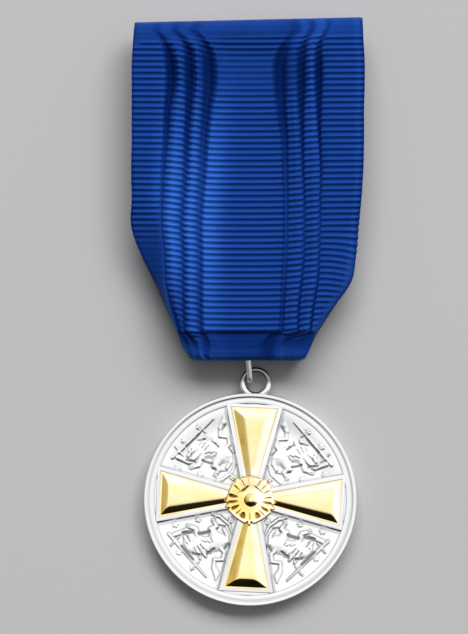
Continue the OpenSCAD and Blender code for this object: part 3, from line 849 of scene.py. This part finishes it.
def along_line(x, y, ax, ay, bx, by):
    """Share of the way along a line, and distance from it, for each point."""
    dx, dy = bx - ax, by - ay
    t = np.clip(((x - ax) * dx + (y - ay) * dy) / (dx * dx + dy * dy), 0, 1)
    return t, np.hypot(x - ax - t * dx, y - ay - t * dy)


def stroke_bodies(x, y):
    """Height of the beast's rounded strokes, as a share, and the distance outside them."""
    bodies = np.zeros_like(x)
    outside = np.full_like(x, np.inf)
    for ax, ay, ar, bx, by, br, share in BEAST:
        t, distance = along_line(x, y, ax, ay, bx, by)
        radius = (ar + (br - ar) * t) * STROKE_WIDENING
        body = share * np.clip(1 - (distance / radius) ** 2, 0, 1) ** 1.1 * np.minimum(1, 0.55 + 0.6 * radius)
        bodies = bodies + body ** 3
        outside = np.minimum(outside, distance - radius)
    return bodies ** (1 / 3), outside


def small_rose(x, y, across, out, radius):
    """Height of a small rose, as a share, and the painted shade round it."""
    distance = np.hypot(x - across, y - out)
    height = 0.7 * np.clip(1 - (distance / (0.45 * radius)) ** 2, 0, 1)
    for petal in range(5):
        angle = 2 * math.pi * petal / 5
        petal_x = across + 0.62 * radius * math.sin(angle)
        petal_y = out + 0.62 * radius * math.cos(angle)
        away = np.hypot(x - petal_x, y - petal_y)
        height = np.maximum(height, 0.6 * np.clip(1 - (away / (0.42 * radius)) ** 2, 0, 1) ** 0.7)
    return height, 0.3 * bell(distance, 1.12 * radius, 0.08)


def relief(x, y, darkening):
    """Height of the figures above the field, and the painted shade round and in them, which grows with the
    darkening.
    """
    height, outside = stroke_bodies(x, y)
    # Painted shade round the figures' outlines, in their engraved lines and in the deep cuts.
    painted_shade = 0.27 * darkening * bell(outside, -0.04, 0.12)
    for ax, ay, bx, by, half_w, depth in ENGRAVED:
        _, distance = along_line(x, y, ax, ay, bx, by)
        groove = 1 - smooth(0, half_w, distance)
        height = height * (1 - depth * groove)
        painted_shade = np.maximum(painted_shade, 0.28 * darkening * groove)
    for ax, ay, bx, by, half_w in DEEP_CUTS:
        _, distance = along_line(x, y, ax, ay, bx, by)
        width = half_w * (0.55 + 0.45 * darkening)
        groove = 1 - smooth(0.5 * width, 1.2 * width, distance)
        height = height * (1 - groove) - 0.25 * groove
        painted_shade = np.maximum(painted_shade, groove)
    for rose in SMALL_ROSES:
        petals, edge = small_rose(x, y, *rose)
        height, painted_shade = np.maximum(height, petals), np.maximum(painted_shade, edge)
    return RELIEF_H * height, painted_shade


def quarter_tile(degrees, mirrored, darkening):
    """A closed tile of one quarter, whose top carries the figures."""
    tile_from, tuck = 3.2, 0.15
    lean = math.atan(ARM_FLARE)
    root = (FRAME_HALF - FRAME_REACH * ARM_FLARE) * math.cos(lean)
    reach = np.linspace(tile_from, FIELD_R - 0.02, 124)[:, None]
    half = math.pi / 4 - lean - np.arcsin(root / reach) + tuck / reach
    turn = np.linspace(-1, 1, 150) * half
    x, y = reach * np.sin(turn), reach * np.cos(turn)
    out = FIGURE_OUT + (y - FIGURE_OUT) / BEAST_SPREAD
    height, painted_shade = relief((-x if mirrored else x) / BEAST_SPREAD, out, darkening)
    z = FIELD_Z + height + FIELD_RISE * smooth(DISH_FROM, FIELD_R, reach)
    points, faces = closed_tile(x, y, z, TILE_FOOT_Z)
    from_frame = np.maximum(0, reach * np.sin(math.pi / 4 - np.abs(turn) - lean) - root - 0.2)
    from_edge = np.minimum(from_frame, FIELD_R - reach)
    # Painted shade round the figures, and along the foot of the frame and of the rim.
    marks = np.maximum(painted_shade, 0.4 * bell(from_edge, 0, 0.12))
    return spun(points, degrees), faces, 1, marks.ravel()


def arm_corners(inset):
    """Corners of a frame arm along +Y, drawn in: root left, end left, end right and root right."""
    root_y = 2.5
    half_end = FRAME_HALF - inset
    reach = FRAME_REACH - END_SHARE * inset
    half_root = FRAME_HALF - (FRAME_REACH - root_y) * ARM_FLARE - inset
    return [(-half_root, root_y), (-half_end, reach), (half_end, reach), (half_root, root_y)]


def frame_arm(degrees):
    """The raised silver border round one gilt arm, swept along three sides with mitred corners."""
    foot, shoulder = -0.12, 0.16
    soft = 0.09
    bend = 0.3 * soft
    profile = [
        (foot, FRAME_FOOT_Z), (foot, FIELD_Z + 0.02),
        (shoulder, FRAME_Z - soft), (shoulder + bend, FRAME_Z - bend), (shoulder + soft, FRAME_Z),
        (BORDER_W - soft, FRAME_Z), (BORDER_W - bend, FRAME_Z - bend), (BORDER_W, FRAME_Z - soft),
        (BORDER_W, FRAME_FOOT_Z),
    ]
    points = [(x, y, z) for inset, z in profile for x, y in arm_corners(inset)]
    caps = [list(range(0, len(points), 4)), list(range(3, len(points), 4))]
    return spun(points, degrees, CROSS_SHIFT), [grid_faces(len(profile), 4, rows_close=True), caps], 0


def frame_floors(degrees):
    """The pocket's floor under one gilt arm, and the field's edge beyond the arm's end."""
    half, near, far = FRAME_HALF - 0.9, FRAME_REACH - 0.6, FIELD_R + 0.1
    strip = [(-half, near), (-half, far), (half, far), (half, near)]
    parts = []
    for corners, top in ((arm_corners(BORDER_W - 0.05), POCKET_Z), (strip, FIELD_Z + FIELD_RISE - 0.02)):
        points = [(x, y, z) for z in (FRAME_FOOT_Z, top) for x, y in corners]
        parts.append((spun(points, degrees, CROSS_SHIFT), capped_rings(2, 4), 0))
    return parts


def eyelet():
    """The soldered eyelet: a ring of round wire, thicker at its foot, with painted shade, the ribbon's
    shadow, on its upper half.
    """
    around, sides = 96, 20
    turn, side = turns(around)[:, None], turns(sides)
    wire_r = EYELET_WIRE_R + SOLDER_W * smooth(0.1, -0.7, np.sin(turn))
    reach = EYELET_RING_R + wire_r * np.cos(side)
    ring = point_list(reach * np.cos(turn), reach * np.sin(turn), wire_r * np.sin(side))
    middle = np.array([0, MEDAL_R + EYELET_RING_R - EYELET_SUNK, EYELET_Z])
    quads = grid_faces(around, sides, rows_close=True, columns_close=True)
    # The marks paint shade, the ribbon's shadow, on the upper half.
    return ring + middle, [quads], 0, smooth(-0.4, 0.5, ring[:, 1])


# The disc's back edge. Columns: radius, height.
DISC_BACK = [(15.80, 0.0), (15.95, 0.05), (16.0, 0.20)]
# Its face, from the side over the rim and the inner ring to the field. Columns: radius, drop, painted shade.
DISC_FACE = [
    (16.0, 0.14, 0), (15.98, 0.06, 0), (15.93, 0.02, 0), (15.85, 0.0, 0), (15.74, 0.0, 0), (15.64, 0.01, 0),
    (15.54, 0.03, 0.05), (15.44, 0.065, 0.15), (15.34, 0.10, 0.30), (15.26, 0.12, 0.35), (15.18, 0.12, 0.30),
    (15.10, 0.105, 0.12), (15.02, 0.085, 0), (14.94, 0.075, 0), (14.86, 0.075, 0), (14.76, 0.08, 0),
    (14.66, 0.095, 0), (14.58, 0.11, 0.05), (14.50, 0.13, 0.15), (14.44, 0.15, 0.25), (14.40, 0.26, 0.30),
    (14.30, 0.74, 0.30),
]


def disc():
    """The struck disc with its rim and inner ring, with painted shade in its grooves."""
    profile = DISC_BACK + [(r, MEDAL_T - drop) for r, drop, _ in DISC_FACE]
    marks = [0] * len(DISC_BACK) + [painted_shade for _, _, painted_shade in DISC_FACE]
    points, faces = lathe(profile)
    return points, faces, 0, np.repeat(marks, len(points) // len(profile))


def make_medal(polished, frosted):
    parts = [disc(), eyelet()]
    for k in range(4):
        # The lower quarters get more painted shade and wider cuts.
        darkening = LOWER_DARKENING if k in (1, 2) else 1.0
        parts += [frame_arm(90 * k), *frame_floors(90 * k), quarter_tile(90 * k + 45, k % 2 == 1, darkening)]
    return make_on_medal("medal_struck", parts, [polished, frosted])


# The gilt cross: four bevelled arms and their hub.

# The bevels, whose width grows with the arm's own.
ARM_SLOPE = 0.50
END_STEEPER = 1.2
BEVEL_W = 0.30
UPRIGHT_WIDENING, LEVEL_WIDENING = 0.33, 0.22
ARM_SIDE = 0.25
SHOULDER = 0.22
FIT_GAP = 0.05
LIP_W = 0.24
GOLD = 0.38


def soft_least(first, second, width):
    """The lesser of two heights, with a rounded join."""
    share = np.clip(0.5 + 0.5 * (second - first) / width, 0, 1)
    return second + (first - second) * share - width * share * (1 - share)


def gilt_marks(degrees, x, y, on_side, sloped, from_edge):
    """Painted light of one arm: pale on bevels that face the light, rich shade on the others, and dark shade
    at the edge.
    """
    turn = math.radians(degrees)
    facing_x = np.where(on_side, np.sign(x) * math.cos(turn), -math.sin(turn))
    facing_y = np.where(on_side, np.sign(x) * math.sin(turn), math.cos(turn))
    lit = 0.85 * facing_x + 0.5 * facing_y > 0
    inside_lip = smooth(0.5 * LIP_W, 1.5 * LIP_W, from_edge)
    # Painted light by arm: the upper arm is paler towards the hub, and the lower arm a little richer.
    pale = {0: 0.30 * smooth(5.6, 3.6, y), 180: -0.07}.get(degrees, 0)
    # Painted highlights on the lit bevels and the flat lip, painted shade on the bevels that face away, and
    # painted shade along the arm's edge.
    marks = GOLD - pale + sloped * inside_lip * np.where(lit, -0.34, 0.35) - 0.12 * (1 - inside_lip)
    return np.maximum(marks, 0.85 * bell(from_edge, 0, 0.05))


def gilt_arm(degrees):
    """One arm: a short upright side, a lip, bevels and a faintly crowned top."""
    root_y = 1.6
    reach = FRAME_REACH - END_SHARE * BORDER_W - FIT_GAP
    half_end = FRAME_HALF - BORDER_W - FIT_GAP
    y = root_y + (reach - root_y) * (1 - np.linspace(1, 0, 60) ** 1.6)[:, None]
    half = half_end - (reach - y) * ARM_FLARE
    s = np.sin(np.linspace(-math.pi / 2, math.pi / 2, 48))
    x = s * half
    side = ARM_SIDE + np.maximum(0, half - LIP_W - np.abs(x)) * ARM_SLOPE
    end = ARM_SIDE + np.maximum(0, reach - LIP_W - y) * ARM_SLOPE * END_STEEPER
    widening = UPRIGHT_WIDENING if degrees % 180 == 0 else LEVEL_WIDENING
    top = ARM_SIDE + (BEVEL_W + widening * half) * ARM_SLOPE + 0.10 - 0.045 * half * s**2
    slope = soft_least(side, end, 0.05)
    z = POCKET_Z + soft_least(slope, top, SHOULDER)
    points, faces = closed_tile(x, y, z, POCKET_Z)
    from_edge = np.minimum(half - np.abs(x), reach - y)
    marks = gilt_marks(degrees, x, y, side < end, smooth(-0.10, 0.25, top - slope), from_edge)
    return spun(points, degrees, CROSS_SHIFT), faces, 0, marks.ravel()


def make_gilt_cross(material):
    hub_r = 2.4
    hub = [(hub_r, POCKET_Z), (hub_r, GILT_TOP - 0.3), (hub_r - 0.2, GILT_TOP - 0.1)]
    parts = [gilt_arm(90 * k) for k in range(4)] + [(*lathe(hub, 64), 0)]
    return make_on_medal("gilt_cross_polished", parts, [material])


# The rose: petals, inner petals, barbs and a boss, as one height over a round grid.

ROSE_R = 3.9
FIFTH_TURN = 2 * math.pi / 5


def petal_angle(turn):
    """Angle from the middle of the nearest of five petals."""
    return (turn - math.pi / 2 + FIFTH_TURN / 2) % FIFTH_TURN - FIFTH_TURN / 2


def rose_outline(turn):
    """Reach of the rose's edge: five nearly straight petals, with a notched barb between each two."""
    from_petal = petal_angle(turn)
    petal = 0.91 * ROSE_R / np.cos(0.75 * from_petal)
    from_barb = FIFTH_TURN / 2 - np.abs(from_petal)
    notch = 0.08 * ROSE_R * bell(from_barb, 0.11, 0.05)
    return np.minimum(petal, ROSE_R * 1.01) - notch


# Dents in the rose, between its petals and under the upper inner ones.
# Columns: angle, distance from the middle, half length outwards, half width, depth.
ROSE_DENTS = [
    (8,   2.70, 0.50, 0.09, 0.45),
    (27,  2.80, 0.50, 0.08, 0.30),
    (45,  2.80, 0.50, 0.10, 0.35),
    (63,  2.85, 0.50, 0.08, 0.30),
    (99,  2.85, 0.50, 0.08, 0.30),
    (117, 2.80, 0.50, 0.08, 0.25),
    (141, 2.70, 0.55, 0.12, 0.60),
    (171, 2.65, 0.65, 0.20, 1.00),
    (190, 2.60, 0.65, 0.15, 0.80),
    (209, 2.60, 0.65, 0.20, 1.00),
    (228, 2.60, 0.60, 0.10, 0.60),
    (247, 2.58, 0.46, 0.38, 1.00),
    (270, 2.50, 0.50, 0.09, 0.50),
    (296, 2.60, 0.46, 0.38, 1.00),
    (313, 2.60, 0.60, 0.10, 0.55),
    (329, 2.60, 0.60, 0.18, 1.00),
    (351, 2.60, 0.60, 0.14, 0.80),
    (54,  1.95, 0.11, 0.50, 0.40),
    (126, 1.80, 0.15, 0.60, 0.85),
]


def rose_dents(x, y):
    """Depth of the dents, as a share. Those that are longer than wide widen outwards."""
    dents = np.zeros_like(x)
    for angle, out, half_length, half_w, depth in ROSE_DENTS:
        a = math.radians(angle)
        along = x * math.cos(a) + y * math.sin(a) - out
        aside = x * math.sin(a) - y * math.cos(a)
        if half_length > half_w:
            half_w = half_w * np.clip(1 + 0.35 * along / half_length, 0.5, 1.5)
        dents = np.maximum(dents, depth * np.exp(-(along / half_length) ** 4 - (aside / half_w) ** 2))
    return dents


def rose_height(x, y):
    """Height above the rose's seat, and the gilding's mark of painted light, from a pale highlight to dark
    shade.
    """
    centre, turn = np.hypot(x, y), np.arctan2(y, x)
    share = centre / rose_outline(turn)
    upper = smooth(-0.2, 0.5, np.sin(turn))
    petal_edge = (FIFTH_TURN / 2 - np.abs(petal_angle(turn))) * centre
    groove = bell(petal_edge, 0.30, 0.10) * smooth(0.80 * ROSE_R, 0.90 * ROSE_R, centre)
    groove = groove * (1 - 0.75 * upper)
    dents = rose_dents(x, y)
    height = 0.60 + 0.05 * np.cos(centre * math.pi / 1.7) - 0.22 * smooth(0.93, 1.0, share)
    height = height + 0.10 * smooth(0, 0.8, petal_edge) * smooth(1.6, 2.6, centre)
    boss = 0.74 + 0.38 * (1 - (np.hypot(x - 0.12, y) / 0.85) ** 2)
    height = np.maximum(height - 0.24 * dents - 0.22 * groove, boss)
    # Painted shade: richer gold on the left and lower side, away from the light.
    shaded_side = -(0.9 * np.cos(turn) + 0.45 * np.sin(turn))
    mark = 0.36 + 0.28 * shaded_side * smooth(0.3, 1.2, centre)
    # Painted shade on the boss's flanks, more on the side away from the light.
    mark = mark + (0.30 + 0.12 * shaded_side) * smooth(0.25, 0.7, centre) * smooth(1.05, 0.9, centre)
    # Painted highlights: a paler band near the edge, much paler at the lower left and lower right.
    highlight_bands = sum(np.exp(-((turn - math.radians(facing)) / 0.42) ** 4) for facing in (-126, -54))
    mark = mark - (0.10 + 0.9 * highlight_bands) * bell(share, 0.88, 0.06)
    # Painted shadow round the rim, less on the upper side, and painted shade in the dents and grooves.
    rim = smooth(0.965, 1.0, share) * (1 - 0.6 * upper)
    painted_shade = np.maximum.reduce([np.minimum(1.0, 1.5 * dents), 0.8 * groove, rim])
    return height, mark + (1 - mark) * painted_shade


def make_rose(material):
    rings, around = 80, 400
    turn = turns(around)
    reach = np.linspace(0.02, 1, rings)[:, None] * rose_outline(turn)
    x, y = reach * np.cos(turn), reach * np.sin(turn)
    height, marks = rose_height(x, y)
    top = point_list(x, y, ROSE_SEAT + height)
    rim = top[-around:].copy()
    rim[:, 2] = ROSE_SEAT
    part = (np.concatenate([top, rim]), capped_rings(rings + 1, around), 0, marks.ravel())
    return make_on_medal("rose_polished", [part], [material], sharp_angle=60)


# Studio: floor, light and camera.

def make_floor():
    size = 900.0
    points = [(-size, -size, 0), (size, -size, 0), (size, size, 0), (-size, size, 0)]
    floor = make_piece("floor", [(points, [[(0, 1, 2, 3)]], 0)], [floor_material()])


def make_world():
    """A studio that darkens to the left and to the foot. Only reflections see it at full strength."""
    world = bpy.data.worlds.new("studio")
    bpy.context.scene.world = world
    w = Maker(world, "Background")
    across, along, up = w.node("ShaderNodeSeparateXYZ", {0: w.place("Generated")})
    sides = w.maths("ADD", w.maths("MULTIPLY", across, 0.42), w.maths("MULTIPLY", along, 0.30))
    low_light = w.maths("MULTIPLY", w.maths("ADD", sides, 0.96), w.stepped(along, -0.65, -0.20, 0.02, 1.0))
    high_light = w.maths("ADD", w.maths("MULTIPLY", along, 0.5), 1.25)
    strength = w.ranged(w.stepped(up, 0.80, 0.92), low_light, high_light)
    rays = w.node("ShaderNodeLightPath")
    lit = w.maths("MULTIPLY", strength, w.ranged(rays["Is Glossy Ray"], 0.25, 1.0))
    w.set(Color=(1, 1, 1, 1), Strength=w.ranged(rays["Is Camera Ray"], lit, 0.6))


def make_key_light():
    """A wide softbox beyond the top of the ribbon, a little to the right, that no reflection shows."""
    distance = 3.0
    toward = Vector((0.21, 1.0, 0.87)).normalized()
    light = bpy.data.lights.new("key", "AREA")
    light.shape = "RECTANGLE"
    light.size = 3.5
    light.size_y = 1.45
    light.energy = 115.5
    lamp = bpy.data.objects.new("key", light)
    lamp.visible_glossy = False
    lamp.location = toward * distance
    lamp.rotation_mode = "QUATERNION"
    lamp.rotation_quaternion = toward.to_track_quat("Z", "Y")
    bpy.context.scene.collection.objects.link(lamp)


def make_camera():
    """Looks straight down on the badge with a long lens, framed as the photo is."""
    distance = 1.0
    face_height = 0.004
    view_h = PHOTO_H * MM_PER_PIXEL * MM
    lens = bpy.data.cameras.new("camera")
    lens.sensor_width = 36.0
    lens.lens = lens.sensor_width * distance / view_h
    camera = bpy.data.objects.new("camera", lens)
    x = (PHOTO_W / 2 - ORIGIN_PIXEL[0]) * MM_PER_PIXEL * MM
    y = (ORIGIN_PIXEL[1] - PHOTO_H / 2) * MM_PER_PIXEL * MM
    camera.location = (x, y, distance + face_height)
    bpy.context.scene.collection.objects.link(camera)
    bpy.context.scene.camera = camera


def dress(piece, slot, *nodes):
    """Sets a piece on the badge in place of its nodes."""
    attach(piece, "root")
    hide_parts(*nodes)


def paint(node, material):
    """Gives a carried-over node its material."""
    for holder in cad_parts[node].material_slots:
        holder.material = material


bpy.context.scene.view_settings.view_transform = "Standard"
make_camera()
make_floor()
make_world()
make_key_light()

polished = silver_material("polished_silver", shade=0.74, low=0.06, high=0.14, grain=1400.0, depth=6e-6)
frosted = silver_material("struck_silver", shade=0.91, low=0.32, high=0.42, grain=2200.0, depth=8e-6)
worn = silver_material("worn_silver", shade=0.74, low=0.36, high=0.46, grain=1800.0, depth=8e-6)
gilding = gilt_material()

ribbon = make_ribbon(cloth_material())
dress(ribbon, "ribbon_cloth", "ribbon")
dress(make_medal(polished, frosted), "silver", "medal")
dress(make_gilt_cross(gilding), "gilt", "gilt_cross")
dress(make_rose(gilding), "gilt", "rose")
paint("suspension_link", worn)
paint("hanger_bar", polished)
paint("brooch", steel_material())
